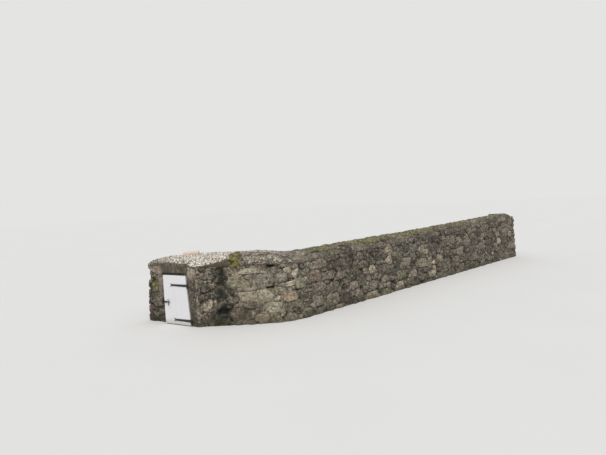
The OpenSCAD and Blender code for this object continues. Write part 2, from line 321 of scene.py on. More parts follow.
def wall_face(s, v, out):
    """Points on the masonry: s round the wall, v up its face and over the arch, out from it."""
    soft = 0.03
    head = head_at(s)
    angle = np.interp(v - head, arch_long, arch_angle)
    level = np.minimum(v, head)
    before, after = plan_at((s - soft) % ring, level), plan_at((s + soft) % ring, level)
    way = after - before
    way /= np.linalg.norm(way, axis=1, keepdims=True)
    outward = np.stack([way[:, 1], -way[:, 0]], -1)
    tilt = np.where(v > head, np.arctan2(np.sin(angle) / cap_rise, np.cos(angle) / head_half), 0)
    reach = out * np.cos(tilt) - head_half * (1 - np.cos(angle))
    plan = (2 * plan_at(s, level) + before + after) / 4 + reach[:, None] * outward
    height = level + cap_rise * np.sin(angle) + out * np.sin(tilt)
    return np.column_stack([plan, np.maximum(height, 0.0)])


luck = np.random.default_rng(7)
lattice = luck.permutation(256)
slopes = luck.normal(size=(256, 3))
slopes /= np.linalg.norm(slopes, axis=1, keepdims=True)


def lumps(points, size, seed=0):
    """Smooth random relief of about -1 to 1 with bumps of a given size, at many points."""
    spots = points / size + 31.7 * seed
    cell = np.floor(spots).astype(int)
    part = spots - cell
    ease = part ** 3 * (part * (part * 6 - 15) + 10)
    total = np.zeros(len(points))
    for near in product((0, 1), repeat=3):
        x, y, z = ((cell + near) % 256).T
        pick = slopes[lattice[(lattice[(lattice[x] + y) % 256] + z) % 256]]
        weight = np.prod(np.where(near, ease, 1 - ease), axis=1)
        total += weight * ((part - near) * pick).sum(axis=1)
    return total * 1.7


def soft_step(value, low, high):
    share = np.clip((value - low) / (high - low), 0, 1)
    return share * share * (3 - 2 * share)


def set_marks(shape, marks):
    """Gives a mesh the values at its points that its finish reads."""
    for mark, values in marks.items():
        kind, field = ("FLOAT_COLOR", "color") if values.ndim > 1 else ("FLOAT", "value")
        shape.attributes.new(mark, kind, "POINT").data.foreach_set(field, values.ravel())


def raise_piece(name, points, faces, finish, replaced=(), body="wall", marks=None):
    """A shown piece of the object from its points and faces, riding on its body."""
    shape = bpy.data.meshes.new(name)
    shape.from_pydata(points, [], faces)
    shape.shade_smooth()
    set_marks(shape, marks or {})
    shape.materials.append(finish)
    made = bpy.data.objects.new(name, shape)
    bpy.context.scene.collection.objects.link(made)
    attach(made, body)
    if replaced:
        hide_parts(*replaced)
    return made


# The stones round the bend are known one by one: place round the wall, height, half height,
# half length beyond that, and tone. A stone without a tone has dropped out and left a hole.
known_stones = [
    (0.17, 0.680, 0.070, 0.020, 3), (0.20, 0.525, 0.052, 0.010, 4), (0.09, 0.500, 0.058, 0.000, 10),
    (0.22, 0.405, 0.050, 0.015, 10), (0.18, 0.275, 0.090, 0.022, 1), (0.09, 0.115, 0.080, 0.025, 4),
    (0.29, 0.085, 0.055, 0.030, 10), (0.49, 0.135, 0.092, 0.030, 4), (0.43, 0.715, 0.046, 0.030, 4),
    (0.52, 0.545, 0.095, 0.020, 9), (0.77, 0.708, 0.044, 0.165, 8), (1.04, 0.700, 0.042, 0.020, 2),
    (0.86, 0.560, 0.082, 0.075, 5), (1.15, 0.575, 0.058, 0.060, 5), (0.90, 0.372, 0.078, 0.050, 8),
    (0.63, 0.354, 0.080, 0.075, 1), (0.67, 0.252, 0.040, 0.125, 4), (1.01, 0.200, 0.082, 0.090, 8),
    (0.87, 0.085, 0.060, 0.075, 6), (0.67, 0.120, 0.062, 0.000, 2), (1.23, 0.335, 0.082, 0.030, 6),
    (1.05, 0.310, 0.030, 0.010, 8), (1.09, 0.420, 0.036, 0.010, 9), (1.45, 0.330, 0.070, 0.010, 10),
    (1.69, 0.540, 0.092, 0.020, 7), (1.99, 0.505, 0.068, 0.070, 5), (1.77, 0.365, 0.068, 0.065, 3),
    (1.73, 0.180, 0.080, 0.075, 5), (2.10, 0.325, 0.080, 0.100, 3), (2.06, 0.140, 0.084, 0.090, 2),
    (0.98, 0.762, 0.034, 0.022, None), (0.96, 0.466, 0.016, 0.034, None),
    (0.33, 0.185, 0.040, 0.040, None)]
bed_squash = 0.82
closest_share = 0.90
neighbours_within = 0.22
least_reach = 0.008
stone_sizes = ((0.092, 0.076, 420), (0.076, 0.060, 1500), (0.060, 0.044, 5000),
               (0.044, 0.032, 12000), (0.032, 0.020, 20000))
joint_half = 0.0035


def on_jamb(s):
    """1 on the strip of masonry left of the render coat, whose top is patched."""
    return soft_step(s, coat_at - 0.36, coat_at - 0.30)


def top_limit(s):
    """How far up the stones go: to the capping at the pier, over its shoulder beyond it, and
    less far on the left jamb."""
    front = soft_step(s, 1.10, 1.45) * soft_step(far_front - s, 0.02, 0.10)
    back = soft_step(s, far_back + 0.02, far_back + 0.10) * soft_step(coat_at - s, 2.9, 3.4)
    return head_at(s) + 0.004 + 0.27 * (front + back) - 0.15 * on_jamb(s)


def lay_stones():
    """Places, half heights and half lengths: big stones first, small ones into the gaps."""
    laid = np.array([k[:4] for k in known_stones])
    for high, low, tries in stone_sizes:
        tried = np.column_stack([luck.uniform(0.02, coat_at - 0.02, tries),
                                 luck.uniform(0.02, 1.20, tries),
                                 luck.uniform(low, high, tries), luck.uniform(-0.2, 1.4, tries)])
        tried[:, 3] = np.maximum(tried[:, 3], 0) * tried[:, 2]
        room = top_limit(tried[:, 0]) - tried[:, 1]
        tried = tried[room > tried[:, 2] * np.where(tried[:, 2] > 0.06, 0.9, 0.4)]
        for s, v, r, long in tried:
            aside = np.clip(np.abs(laid[:, 0] - s) - laid[:, 3] - long, 0, None)
            gap_shadow = np.hypot(aside * bed_squash, laid[:, 1] - v)
            if np.all(gap_shadow > closest_share * (laid[:, 2] + r)):
                laid = np.vstack([laid, (s, v, r, long)])
    return laid


stones = lay_stones()
dropped = (stones[:, 2] < 0.030) & (stones[:, 3] < 0.012)
dropped &= luck.uniform(size=len(stones)) < 0.04
dropped[:len(known_stones)] = [k[4] is None for k in known_stones]
stone_tones = [paint(*c) for c in ((168, 155, 134), (158, 145, 125), (136, 125, 109),
                                   (120, 111, 98), (108, 95, 80), (132, 125, 113),
                                   (152, 134, 112), (126, 107, 95), (176, 165, 145),
                                   (134, 128, 104), (84, 78, 69), (104, 99, 91))]
usual_odds = np.array([2, 5, 9, 8, 5, 8, 0.4, 1.0, 0.8, 3, 1.5, 4])
bend_odds = np.array([7, 6, 3, 3, 4, 3, 0.5, 0.8, 6.0, 4, 4, 2])
pier_odds = np.array([2, 3, 3, 3, 3, 3, 0.3, 0.8, 2.0, 2, 4, 4])


def cut_stone(index):
    """One stone as rings of points, from the middle of its face out to its back edge."""
    s, v, r, long = stones[index]
    aside = stones[:, 0] - s
    own = np.clip(aside, -long, long)
    other = np.clip(aside - own, -stones[:, 3], stones[:, 3])
    apart = np.column_stack([(aside - own - other) * bed_squash, stones[:, 1] - v])
    far = np.hypot(*apart.T)
    near = (far > 1e-6) & (far < r + neighbours_within)
    split = (far[near] ** 2 + r ** 2 - stones[near, 2] ** 2) / (2 * far[near])
    slant = luck.normal(0, 0.08 * r / (r + long), len(split))
    way = np.arctan2(apart[near, 1], apart[near, 0]) + slant
    normal = np.column_stack([np.cos(way) * bed_squash, np.sin(way)])
    size = np.linalg.norm(normal, axis=1)
    split += own[near] * normal[:, 0]
    reach = split / size - joint_half * luck.uniform(0.3, 1.9, len(size))
    normal = np.vstack([normal / size[:, None], (0, 1), (0, -1), (-1, 0), (1, 0)])
    top = top_limit(np.array([s]))[0]
    most_up, most_along = 1.5 * r, long + 1.7 * r
    reach = np.append(reach, [min(top - v, most_up), min(v + 0.03, most_up),
                              min(s - least_reach, most_along), min(coat_at - s, most_along)])
    if reach.min() < least_reach:
        return None
    around = int(np.clip((r + 0.5 * long) / 0.0024, 12, 40))
    angle = np.linspace(0, 2 * pi, around, endpoint=False)
    ray = np.stack([np.cos(angle) * (1 + long / r), np.sin(angle)], -1)
    ray /= np.linalg.norm(ray, axis=1, keepdims=True)
    facing = np.clip(ray @ normal.T, 0, None) / reach
    sharp = luck.uniform(20, 60)
    edge = (facing ** sharp).sum(axis=1) ** (-1 / sharp)
    wobble = np.column_stack([ray * r * 1.2, np.full(around, index * 0.37)])
    edge *= 1 + 0.06 * lumps(wobble, 0.05) + 0.04 * lumps(wobble, 0.018)
    big = r > 0.04
    steps = [0.25, 0.5, 0.7, 0.84, 0.93, 0.985, 1.0, 0.97] if big else [0.45, 0.75, 0.93, 1.0, 0.97]
    share = np.append(0, np.repeat(steps, around))
    spot = np.vstack([(0, 0), *[ray * (edge * step)[:, None] for step in steps]])
    bulge = r * luck.uniform(0.02, 0.11)
    relief = bulge * (1 - share ** 2) + spot @ (luck.normal(0, 0.085, 2) * (r / (r + long), 1))
    for way, at in zip(luck.uniform(0, 2 * pi, 3), luck.uniform(0.2, 0.7, 3) * r):
        relief -= 0.30 * np.clip(spot @ (cos(way), sin(way)) - at, 0, 0.8 * r)
    relief -= luck.uniform(0.004, 0.012) * soft_step(share, 0.78, 1.02) ** 1.5
    ground = np.column_stack([spot + (s, v), relief])
    relief += min(r * 0.07, 0.006) * lumps(ground, 0.06, index % 9)
    beds = ground * (0.25, 1, 1)
    relief += 0.0034 * lumps(beds, 0.019, index % 7) + 0.0020 * lumps(ground, 0.011, 3)
    out = relief - bulge - luck.uniform(0.0, 0.012)
    out[-around:] -= 0.045
    points = wall_face(s + spot[:, 0], v + spot[:, 1], np.minimum(out, 0.002))
    first = np.arange(around)
    turn = (first + 1) % around
    faces = [(0, 1 + a, 1 + b) for a, b in zip(first, turn)]
    for k in range(len(steps) - 1):
        low, high = 1 + k * around, 1 + (k + 1) * around
        faces += [(low + a, high + a, high + b, low + b) for a, b in zip(first, turn)]
    return points, faces


def weather(finish, colour):
    """Dirt, lichen and moss that lie alike over the stones and the mortar between them, with painted
    shade on the run's crest.
    """
    run = finish.above(finish.along, -2.9, -2.2)
    bend = finish.above(finish.along, -3.8, -3.6) - run
    uneven_height = finish.height + 0.16 * (finish.cloud(0.12, 3) - 0.5)
    # Painted shade: the run's crest is made darker against the lamp's light from above. The pier and
    # the run are also made darker than the bend.
    crest = run * finish.above(uneven_height, 0.62, 0.92)
    blotches = (1.4 - 0.9 * bend - 0.5 * run) * finish.mottle(0.040, -0.40, 0.40, seed=6.6)
    colour = finish.shade(colour, 0.80 + 0.2 * bend + 0.06 * run - 0.24 * crest + blotches)
    grime, lichen, crust = paint(46, 41, 33), paint(196, 190, 173), paint(160, 152, 135)
    colour = finish.patches(colour, grime, 0.66, 0.055, 0.53, 0.62, 1.7)
    colour = finish.patches(colour, lichen, 0.62, 0.030, 0.55, 0.66, 8.4)
    colour = finish.patches(colour, crust, 0.15 + 0.4 * bend, 0.055, 0.54, 0.60, 6.9)
    # The dark streak and spots: a damp stain with painted shade, and a painted shadow under a stone.
    colour = finish.blend(colour, paint(28, 30, 20), 0.92 * finish.mark("stain_and_shade"))
    green = finish.mark("green")
    moss = finish.blend(paint(148, 142, 92), paint(126, 116, 38), finish.above(green, 0.95, 1.2))
    moss = finish.blend(moss, paint(58, 52, 24), finish.mottle(0.05, 0.0, 0.9, seed=3.9))
    colour = finish.patches(colour, moss, 0.85, 0.05, 0.68, 0.80, 4.4, 5, 0.42 * green)
    damp = 1 - finish.above(uneven_height, 0.02, 0.16)
    return finish.blend(colour, paint(64, 58, 42), 0.5 * damp)


def stain_and_shade_at(points):
    """The dark streak down the pier's front, wider at its foot: a damp stain with painted shade of
    plants, plus a painted shadow under a low stone and a dark patch on the left jamb.
    """
    along = plan_along(points, -stub_way) + 0.05 * lumps(points * (1, 1, 0.5), 0.25, 4)
    low = 1 - soft_step(points[:, 2], 0.10, 0.34)
    streak = soft_step(along, 0.19 - 0.12 * low, 0.27)
    streak *= 1 - soft_step(along, 0.33, 0.42 + 0.12 * low)
    patchy = 0.78 + 0.8 * lumps(points, 0.07, 2)
    front = plan_along(points, pier_back_way) < 0.12
    streak *= front * soft_step(-points[:, 2], -0.84, -0.72)
    jamb_along = plan_along(points, face_right, on_face(-0.84, 0.0))
    # A painted shadow under a stone low at the bend.
    shadow_below_stone = np.hypot((along - 0.63) / 0.09, (points[:, 2] - 0.15) / 0.12) + 4 * ~front
    jamb = np.hypot(jamb_along / 0.13, (points[:, 2] - 0.22) / 0.26) + 4 * (along > -0.02)
    for apart, strength in ((shadow_below_stone, 0.75), (jamb, 0.55)):
        streak = np.maximum(streak, strength * (1 - soft_step(apart, 0.4, 1.1)))
    return np.clip(streak * patchy, 0, 1)


def green_at(points):
    """Where moss has stained the wall: along the crest, over the streak and on the left jamb."""
    crown = springing(points[:, 0] - run_start) + cap_rise
    crest = soft_step(points[:, 2] - crown, -0.12, -0.01) * soft_step(points[:, 0], -3.1, -2.4)
    crest *= 0.68 + 0.5 * lumps(points, 0.35, 11)
    cushion = corner - 0.50 * stub_way + 0.10 * pier_back_way
    jamb = on_face(-0.82, coat_thick)
    for spot, z, reach, strength in ((cushion, 0.87, (0.125, 0.32, 0.20), 2.4),
                                     (jamb, 0.52, (0.13, 0.13, 0.16), 1.1)):
        aside = points[:, :2] - spot
        apart = np.column_stack([aside @ stub_way, aside @ pier_back_way, points[:, 2] - z]) / reach
        apart += 0.2 * lumps(points, 0.05, 19)[:, None]
        crest = np.maximum(crest, strength * (1 - soft_step(np.linalg.norm(apart, axis=1), 0.15, 1.0)))
    return crest


def stone_finish():
    """Weathered field stone: split faces of many tones with thin beds in them."""
    stone = Finish("field_stone", 0.92)
    tone = stone.mark("tone", "Color")
    fine = stone.cloud(0.024, 4, 0.7)
    flat_beds = (2.0, 2.0, 0.45)
    beds = stone.cloud(0.05, 3, 0.6, flat_beds, 3.1)
    mottled = stone.mottle(0.024, 0.68, 1.26) * stone.mottle(0.10, 0.86, 1.10, seed=9.2)
    colour = stone.shade(tone, mottled)
    colour = stone.shade(colour, stone.mottle(0.06, 0.80, 1.12, 3, flat_beds, 3.1))
    rust = stone.above(stone.cloud(0.13, 3, seed=5.2) + 0.25 * fine, 0.68, 0.86)
    colour = stone.blend(colour, paint(140, 114, 88), 0.34 * rust)
    colour = weather(stone, colour)
    return stone.dress(colour, fine + 0.8 * beds, 0.016)


field_stone = stone_finish()
batches = {}
batch_ends = (("pier_front", 1.7), ("run_front_near", 4.6), ("run_front_far", far_back),
              ("run_back_far", far_back + 3.6), ("run_back_near", coat_at - 3.2), ("pier_back", ring))
for index in np.flatnonzero(~dropped):
    place = stones[index, 0]
    batch = next(name for name, end in batch_ends if place < end)
    cut = cut_stone(index)
    if cut is None:
        continue
    known = index < len(known_stones)
    pier = place < 0.48 or place > coat_at - 0.4
    odds = pier_odds if pier else bend_odds if 0.5 < place < 1.45 else usual_odds
    mix = luck.choice(len(stone_tones), p=odds / odds.sum())
    shadow = 0.60 if pier else 1.0 if place < 1.4 else 0.84
    if known:
        mix = known_stones[index][4]
        shadow = 1.0
    spread = 0.08 if known else 0.55 if 1.4 < place < coat_at - 0.4 else 0.4
    shadow *= luck.uniform(1 - spread, 1 + spread)
    tone = np.array(stone_tones[mix]) * (shadow, shadow, shadow, 1)
    batches.setdefault(batch, []).append((*cut, tone))
for batch, members in batches.items():
    counts = np.cumsum([0] + [len(points) for points, _, _ in members])
    points = np.vstack([points for points, _, _ in members])
    faces = [tuple(first + i for i in f) for first, (_, cut, _) in zip(counts, members) for f in cut]
    tones = np.vstack([np.tile(tone, (len(points), 1)) for points, _, tone in members])
    raise_piece(batch + "_stones", points, faces, field_stone, marks={
        "tone": tones, "stain_and_shade": stain_and_shade_at(points), "green": green_at(points)})

# The bedding: lime mortar with coarse sand, pressed in by hand between the stones. Rain has
# washed it back behind their faces and has left holes in it.
mortar_grain = 0.0135
niche_left, niche_right, niche_low, niche_top = -0.575, -0.225, 0.01, 0.64


def mortar_depth(s, v):
    """How far the mortar stands out from the masonry's face, mostly below 0, and the places on
    that face. Behind the coat it lies at the coat's back all the way, clear of the door."""
    spots = wall_face(s, v, np.zeros(len(s)))
    flush = 0.003 * (1 - soft_step(s, 0.9, 1.6))
    out = -0.0285 + flush + 0.010 * lumps(spots, 0.085, 5) + 0.007 * lumps(spots, 0.032, 6)
    out += 0.003 * lumps(spots, 0.015, 7)
    out -= 0.024 * soft_step(lumps(spots, 0.055, 8), 0.34, 0.58)
    for place, height, r, long in stones[dropped]:
        aside = np.clip(np.abs(s - place) - long, 0, None)
        apart = np.hypot(aside * bed_squash, v - height) / r
        out -= 0.045 * (1 - soft_step(apart, 0.4, 1.15))
    filled = 1 - soft_step(s, 0.02, 0.07)
    out = out * (1 - filled) + filled * (0.012 * lumps(spots, 0.03, 5) - 0.010)
    patch = on_jamb(s) * soft_step(v + 0.3 * out, 0.60, 0.64)
    out = out * (1 - patch) + patch * (0.003 * lumps(spots, 0.06, 18) - 0.006)
    behind = np.maximum(soft_step(s, coat_at - 0.05, coat_at), 1 - soft_step(s, 0.004, 0.022))
    meeting = 1 - soft_step(np.minimum(s, ring - s), 0.0, 0.03)
    slant = coat_thick * np.clip((s - coat_at) / (ring - coat_at), 0, 1)
    slant *= 1 - soft_step(s, ring - 0.13, ring - 0.05)
    return out * (1 - behind) + (0.005 * meeting - 0.003 - slant) * behind, spots


def mortar_finish():
    """Sandy lime mortar, buff where it is fresh, with dirt and painted shade in its holes and deep
    joints.
    """
    mortar = Finish("bedding_mortar", 0.95)
    colour = mortar.blend(paint(148, 137, 117), paint(104, 95, 80), mortar.mottle(0.14, 0.0, 1.0, 4))
    colour = mortar.shade(colour, mortar.mottle(0.024, 0.62, 1.26, seed=2.4))
    colour = weather(mortar, colour)
    # Dirt and painted shade in the holes and deep joints, and more painted shade where the mesh marks
    # it.
    colour = mortar.blend(colour, paint(30, 27, 22), 0.92 * mortar.mark("pit_and_shade"))
    return mortar.dress(colour, mortar.cloud(0.018, 4, 0.75), 0.014)


bedding_mortar = mortar_finish()
around_stops = np.linspace(0, ring, round(ring / mortar_grain) + 1)
rise_stops = np.linspace(0, 1, 68)
half_way = np.searchsorted(around_stops, (far_front + far_back) / 2)
masonry = [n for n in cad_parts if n.startswith(("wall_", "pier_"))]
for name, part, covered in (("bedding_front", slice(0, half_way + 1), masonry),
                            ("bedding_back", slice(half_way, None), ())):
    s, share = [grid.ravel() for grid in
                np.meshgrid(around_stops[part], rise_stops, indexing="ij")]
    at_corner = 1 - soft_step(np.minimum(s, ring - s), 0.04, 0.10)
    v = share * (head_at(s) + 0.035 - 0.032 * at_corner)
    out, spots = mortar_depth(s, v)
    points = wall_face(s, v, out)
    face_x = plan_along(points, face_right)
    tall, wide = len(rise_stops), len(around_stops[part])
    faces = []
    for i, j in product(range(wide - 1), range(tall - 1)):
        k = i * tall + j
        in_niche = niche_left < face_x[k] < niche_right and niche_low < v[k] < niche_top
        if in_niche and s[k] > coat_at:
            continue
        faces.append((k, k + tall, k + tall + 1, k + 1))
    round_leaf = (s > coat_at) & (face_x > -0.64) & (face_x < -0.13) & (v < 0.72)
    wavy = s + 0.028 * lumps(spots, 0.05, 16)
    edge_joint = soft_step(wavy, 0.004, 0.012) * (1 - soft_step(wavy, 0.025, 0.050))
    edge_joint *= np.clip(2.4 * lumps(spots, 0.07, 17) - 0.2, 0, 1)
    # Painted shade in the mortar: on the pier's front, along the run, by the corner at the coat, round
    # the door leaf behind the coat and along the coat's edge.
    painted_joint_shade = 0.42 * (1 - soft_step(s, 0.45, 0.55)) + 0.40 * soft_step(s, 1.3, 1.7)
    painted_joint_shade += 0.3 * (1 - soft_step(np.minimum(s, ring - s), 0.02, 0.12))
    painted_joint_shade += round_leaf + edge_joint
    raise_piece(name, points, faces, bedding_mortar, covered, marks={
        "pit_and_shade": np.clip((-out - 0.027) / 0.014 + painted_joint_shade, 0, 1), "stain_and_shade": stain_and_shade_at(points),
        "green": green_at(points)})

# The capping: a rounded back of lime mortar, thrown on and rubbed over with a float. It is
# cream and rough over the pier, grey past the bend, and thin over stones along the run.
rib_half = wall_half(springing(-bend_long)) + cap_lip


def capping_ribs():
    """Arched ribs from the end face to the far end: front foot, back foot, height and rise."""
    root_front = pier_root - rib_half * pier_back_way
    root_back = pier_root + rib_half * pier_back_way
    front = on_face(0, 0)
    nose, nose_back, nose_inner = nose_points(pier_head, 0, rib_half)
    stations = [(0, nose - cap_lip * face_right, 0.08), (0.12, nose_back, 0.1185),
                (0.4, nose_inner, 0.1395),
                (0.75, nose_inner + 0.25 * (root_back - nose_inner), cap_rise),
                (0.9, nose_inner + 0.55 * (root_back - nose_inner), cap_rise),
                (1, root_back, cap_rise)]
    share = np.linspace(0, 1, 96)[:-1]
    at = [place for place, _, _ in stations]
    table = np.array([np.hstack([front + place * (root_front - front), back, rise])
                      for place, back, rise in stations])
    pier = np.stack([np.interp(share, at, column) for column in table.T], -1)
    q = np.concatenate([np.arange(-bend_long, 0, 0.0075), np.arange(0, run_long, 0.0125), [run_long]])
    line, back_way = centreline(q)
    half = np.array([wall_half(z) for z in springing(q)])[:, None] + cap_lip
    rest = np.hstack([line - half * back_way, line + half * back_way, np.full((len(q), 1), cap_rise)])
    heights = np.append(np.full(len(pier), pier_head), springing(q))
    return np.vstack([pier, rest]), heights, len(pier)


ribs, rib_heights, pier_ribs = capping_ribs()
close_rows = 9
face_zone = 0.3
close = np.linspace(1, 0, close_rows, endpoint=False)[::-1]
ribs = np.pad(ribs, ((close_rows, close_rows), (0, 0)), mode="edge")
rib_heights = np.pad(rib_heights, close_rows, mode="edge")
fullness = np.concatenate([close * 0.94, np.ones(len(ribs) - 2 * close_rows), close[::-1] * 0.97])
arch_count, skirt_count = 88, 7
arch_even = np.interp(np.linspace(0, arch_long[-1], arch_count // 2), arch_long, arch_angle)
arch = np.concatenate([arch_even[:-1], pi - arch_even[::-1]])
skirt = np.linspace(1, 0, skirt_count, endpoint=False)
angles = np.concatenate([np.zeros(skirt_count), arch, np.full(skirt_count, pi)])
tucks = np.concatenate([skirt, np.zeros(len(arch)), skirt[::-1]])
rib_index, across_index = [grid.ravel() for grid in
                           np.meshgrid(np.arange(len(ribs)), np.arange(len(angles)), indexing="ij")]
feet = ribs[rib_index]
angle, tuck, full = angles[across_index], tucks[across_index], fullness[rib_index]
middle, half_across = (feet[:, 0:2] + feet[:, 2:4]) / 2, (feet[:, 0:2] - feet[:, 2:4]) / 2
half_long = np.linalg.norm(half_across, axis=1)
to_front = half_across / half_long[:, None]
height = rib_heights[rib_index] + feet[:, 4] * full * np.sin(angle)
base = np.column_stack([middle + half_across * np.cos(angle)[:, None], height])
tilt = np.arctan2(np.sin(angle) / feet[:, 4], np.cos(angle) / half_long)
from_end = plan_along(base, face_in)
from_far = run_end - base[:, 0]
along_pier = plan_along(base, -stub_way)
cream = 1 - soft_step(along_pier + 0.05 * lumps(base, 0.11, 3), 0.48, 0.56)
on_run = soft_step(base[:, 0] + 0.1 * lumps(base, 0.15, 8), -3.1, -2.8)
# Painted light: the capping's crest, where it faces up, is made paler through the cream mark.
lit_crest = soft_step(np.sin(angle) + 0.1 * lumps(base, 0.08, 14), 0.84, 0.97)
out = -0.006 + 0.009 * lumps(base, 0.17, 1) + 0.007 * lumps(base, 0.055, 2)
out += (0.0045 * cream + 0.003) * lumps(base, 0.024, 3) + 0.0016 * lumps(base, 0.012, 4)
low_down = 1 - soft_step(np.sin(angle), 0.78, 0.97)
out -= on_run * (0.006 + 0.022 * low_down + 0.008 * lumps(base, 0.045, 5) * low_down)
out -= 0.020 * (1 - np.clip(from_end / 0.028, 0, 1)) ** 2
out -= 0.018 * (1 - np.clip(from_far / 0.030, 0, 1)) ** 2
ragged = 0.006 + 0.010 * (1 + lumps(base * (1, 1, 0), 0.09, 6)) + 0.006 * lumps(base, 0.03, 7)
side = np.sign(np.cos(angle))
sideways = out * np.cos(tilt) - side * 0.040 * tuck ** 2.2
points = np.column_stack([base[:, :2] + to_front * sideways[:, None],
                          base[:, 2] + out * np.sin(tilt) - ragged * tuck])
coat_over = (full < 1) * soft_step(0.97 - full, 0.0, 0.1) * (from_end < face_zone)
closing = (full < 1) * (0.004 * lumps(base, 0.05, 9) + 0.003 * lumps(base, 0.02, 10))
face_x = plan_along(base, face_right)
# The pier's capping is made darker at its left end and towards its lower edges.
darkening = 0.5 * (1 - 0.6 * soft_step(from_end, 0.03, 0.20)) * soft_step(-face_x, 0.55, 0.90)
foot_line = 0.05 + 0.40 * cream * soft_step(along_pier, 0.05, 0.45) + 0.10 * lumps(base, 0.06, 15)
foot_darkening = 1 - soft_step(np.sin(angle), foot_line, foot_line + 0.2)
darkening = np.maximum(darkening, (0.3 + 0.9 * cream) * foot_darkening)
inward = np.where((from_end < face_zone)[:, None], (*face_in, 0), (-1, 0, 0))
points += inward * (np.abs(closing) + 0.002 * (full < 1))[:, None]

# A bed of the same mortar is raised under the tile, up to its tilted underside.
bed_reach = 0.06
tile_foot = np.array([v.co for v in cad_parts["ridge_tile"].data.vertices])
tile_foot = tile_foot[tile_foot[:, 2] < tile_foot[:, 2].mean()]
tile_middle = tile_foot.mean(axis=0)
foot_ways = tile_foot[:, :2] - tile_middle[:2]
tile_ways = np.linalg.svd(foot_ways, full_matrices=False)[2].T
tile_slope = np.linalg.lstsq(foot_ways, tile_foot[:, 2] - tile_middle[2], rcond=None)[0]
from_tile = points[:, :2] - tile_middle[:2]
past_tile = np.abs(from_tile @ tile_ways) - np.abs(foot_ways @ tile_ways).max(axis=0)
past_tile = np.linalg.norm(np.clip(past_tile, 0, None), axis=1)
bed_top = tile_middle[2] + from_tile @ tile_slope + 0.004 - 1.1 * past_tile
bed_top += (0.003 * lumps(points, 0.03, 22) - 0.002) * soft_step(past_tile, 0.0, 0.01)
points[:, 2] = np.where(past_tile < bed_reach, np.maximum(points[:, 2], bed_top), points[:, 2])


def capping_finish():
    """Weathered capping mortar: cream and gritty on the pier, grey and then mossy beyond it."""
    cap = Finish("capping_mortar", 0.95)
    cream_and_lit_crest = cap.mark("cream")
    grit = cap.cloud(0.020, 4, 0.75)
    broad = cap.mottle(0.16, 0.0, 1.0, 4)
    grey = cap.blend(paint(182, 172, 156), paint(136, 126, 112), broad)
    pale = cap.blend(paint(243, 236, 224), paint(220, 209, 192), broad)
    coarse = cap.shade(grey, cap.mottle(0.045, 0.44, 1.40, stretch=(1.6, 1.6, 0.5)))
    coarse = cap.patches(coarse, paint(196, 187, 172), 0.7, 0.07, 0.51, 0.60, 9.9)
    # The cream part, with painted light on the crest.
    colour = cap.blend(coarse, cap.shade(pale, cap.mottle(0.024, 0.80, 1.10)), cream_and_lit_crest)
    colour = cap.blend(colour, paint(94, 86, 70), 0.66 * cap.mark("run"))
    colour = cap.shade(colour, cap.mottle(0.024, 0.80, 1.14, seed=7.5))
    darkening = cap.mark("darkening")
    # Darker at the left end and towards the lower edges.
    colour = cap.blend(colour, paint(124, 112, 94), 0.55 * darkening)
    speck = cap.cloud(0.018, 3, 0.7, seed=6.3) + 0.12 * cap.cloud(0.13, 2, seed=5.8)
    speck = cap.above(speck + 0.20 * darkening, 0.57, 0.63)
    lichen = cap.blend(paint(50, 43, 33), paint(96, 85, 68), cap.mottle(0.030, 0.0, 1.0, seed=3.6))
    colour = cap.blend(colour, lichen, 0.88 * speck)
    grime = cap.above(cap.cloud(0.09, 5, 0.75, seed=1.7) + 0.13 * darkening - 0.02 * cream_and_lit_crest, 0.54, 0.63)
    colour = cap.blend(colour, paint(70, 62, 46), 0.74 * grime)
    green = cap.mark("green")
    moss = cap.blend(paint(156, 151, 112), paint(132, 121, 34), cap.above(green, 0.95, 1.2))
    moss = cap.blend(moss, paint(50, 45, 20), cap.mottle(0.05, 0.0, 1.1, seed=3.9))
    colour = cap.patches(colour, moss, 0.88, 0.06, 0.66, 0.80, 4.4, 5, 0.42 * green)
    coat = cap.blend(paint(70, 62, 51), paint(118, 108, 94), cap.mottle(0.05, 0.0, 1.0, seed=2.9))
    colour = cap.blend(colour, coat, 0.95 * cap.mark("coat"))
    return cap.dress(colour, grit + 0.6 * cap.cloud(0.04, 4, seed=2.2) - 0.35 * speck, 0.016)


capping_mortar = capping_finish()
across = len(angles)
caps = [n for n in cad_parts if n.startswith("cap_")]
split_rib = close_rows + pier_ribs + 70
for name, first, last, covered in (("capping_pier", 0, split_rib, caps),
                                   ("capping_run", split_rib, len(ribs) - 1, ())):
    used = slice(first * across, (last + 1) * across)
    faces = [(i * across + j, (i + 1) * across + j, (i + 1) * across + j + 1, i * across + j + 1)
             for i, j in product(range(last - first), range(across - 1))]
    raise_piece(name, points[used], faces, capping_mortar, covered, marks={
        "cream": np.maximum(cream, 0.5 * lit_crest)[used], "run": on_run[used],
        "green": green_at(points[used]), "coat": coat_over[used], "darkening": darkening[used]})

